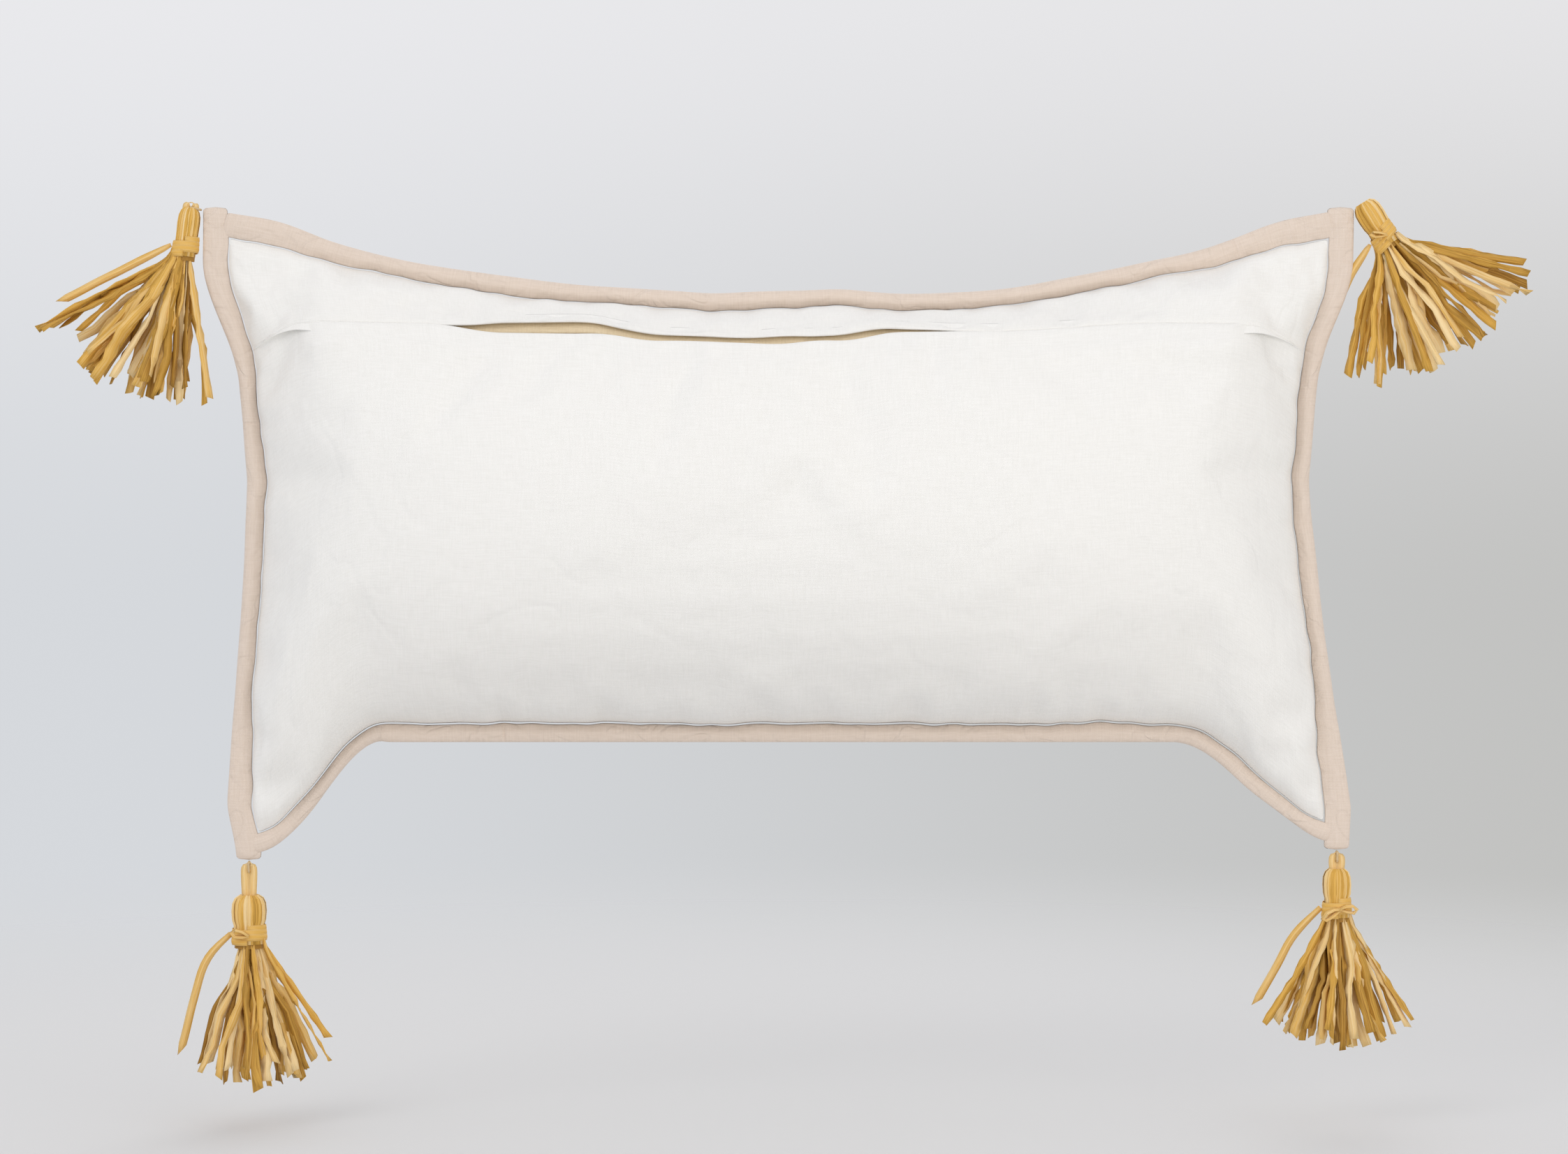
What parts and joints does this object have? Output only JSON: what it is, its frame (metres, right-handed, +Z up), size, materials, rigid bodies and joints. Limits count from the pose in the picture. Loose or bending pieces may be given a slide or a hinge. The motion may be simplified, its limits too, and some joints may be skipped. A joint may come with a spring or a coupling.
{
  "type": "throw pillow",
  "caption": "Long off-white throw pillow with a padded blush flange, a concealed zip along the back and a straw-coloured raffia tassel at each corner.",
  "frame": {"origin": "centre of the flat underside of the lower flange, where the pillow rests on what carries it", "axes": "+X along the pillow to the right as seen from the zip side, +Y out of the plain side, +Z up, so the zip side faces -Y"},
  "size_m": [0.7869, 0.1658, 0.4787],
  "materials": {
    "cover_cotton": "off-white cotton, plain weave, matt",
    "flange_cotton": "blush cotton, plain weave, matt",
    "wadding": "white polyester wadding",
    "insert_cloth": "thin white cambric",
    "zip_tape": "khaki woven tape",
    "zip_coil": "khaki nylon coil",
    "zip_metal": "dull nickel",
    "thread": "cotton thread",
    "raffia": "straw-coloured paper raffia, slight sheen"
  },
  "bodies": {
    "pillow": {"cover_front": "cover_cotton", "cover_back_lower": "cover_cotton", "cover_back_upper": "cover_cotton", "flange_top": "flange_cotton", "flange_bottom": "flange_cotton", "flange_left": "flange_cotton", "flange_right": "flange_cotton", "flange_wadding_top": "wadding", "flange_wadding_bottom": "wadding", "flange_wadding_left": "wadding", "flange_wadding_right": "wadding", "insert_casing_front": "insert_cloth", "insert_casing_back": "insert_cloth", "insert_filling": "wadding", "zip_tape_upper": "zip_tape", "zip_tape_lower": "zip_tape", "zip_coil_upper": "zip_coil", "zip_coil_lower": "zip_coil", "zip_stop_left": "zip_metal", "zip_stop_right": "zip_metal", "corner_tack_ul": "thread", "corner_tack_ur": "thread", "corner_tack_ll": "thread", "corner_tack_lr": "thread"},
    "slider": {"zip_slider": "zip_metal"},
    "loop_ul": {"tassel_ul_loop": "raffia"},
    "loop_ur": {"tassel_ur_loop": "raffia"},
    "loop_ll": {"tassel_ll_loop": "raffia"},
    "loop_lr": {"tassel_lr_loop": "raffia"},
    "tassel_ul": {"tassel_ul_strands": "raffia", "tassel_ul_neck_tie": "raffia", "tassel_ul_tie_tail": "raffia"},
    "tassel_ur": {"tassel_ur_strands": "raffia", "tassel_ur_neck_tie": "raffia", "tassel_ur_tie_tail": "raffia"},
    "tassel_ll": {"tassel_ll_strands": "raffia", "tassel_ll_neck_tie": "raffia", "tassel_ll_tie_tail": "raffia"},
    "tassel_lr": {"tassel_lr_strands": "raffia", "tassel_lr_neck_tie": "raffia", "tassel_lr_tie_tail": "raffia"}
  },
  "joints": [
    {"name": "zip_slide", "type": "slide", "parent": "pillow", "child": "slider", "axis": [-1, 0, 0], "range_m": [0, 0.435]},
    {"name": "side_swing_ul", "type": "hinge", "parent": "pillow", "child": "loop_ul", "pos_m": [-0.3102, 0, 0.2825], "axis": [0, 1, 0], "range_deg": [0, 100]},
    {"name": "fore_swing_ul", "type": "hinge", "parent": "loop_ul", "child": "tassel_ul", "pos_m": [-0.31106, 0, 0.27636], "axis": [0.9903, 0, -0.1392], "range_deg": [-75, 75]},
    {"name": "side_swing_ur", "type": "hinge", "parent": "pillow", "child": "loop_ur", "pos_m": [0.3102, 0, 0.2825], "axis": [0, -1, 0], "range_deg": [0, 70]},
    {"name": "fore_swing_ur", "type": "hinge", "parent": "loop_ur", "child": "tassel_ur", "pos_m": [0.31349, 0, 0.27724], "axis": [0.848, 0, 0.5299], "range_deg": [-75, 75]},
    {"name": "side_swing_ll", "type": "hinge", "parent": "pillow", "child": "loop_ll", "pos_m": [-0.28075, 0, -0.0689], "axis": [0, 1, 0], "range_deg": [-50, 90]},
    {"name": "fore_swing_ll", "type": "hinge", "parent": "loop_ll", "child": "tassel_ll", "pos_m": [-0.28075, 0, -0.0843], "axis": [1, 0, 0], "range_deg": [-75, 75]},
    {"name": "side_swing_lr", "type": "hinge", "parent": "pillow", "child": "loop_lr", "pos_m": [0.29625, 0, -0.0634], "axis": [0, -1, 0], "range_deg": [-50, 90]},
    {"name": "fore_swing_lr", "type": "hinge", "parent": "loop_lr", "child": "tassel_lr", "pos_m": [0.29625, 0, -0.0696], "axis": [1, 0, 0], "range_deg": [-75, 75]}
  ]
}
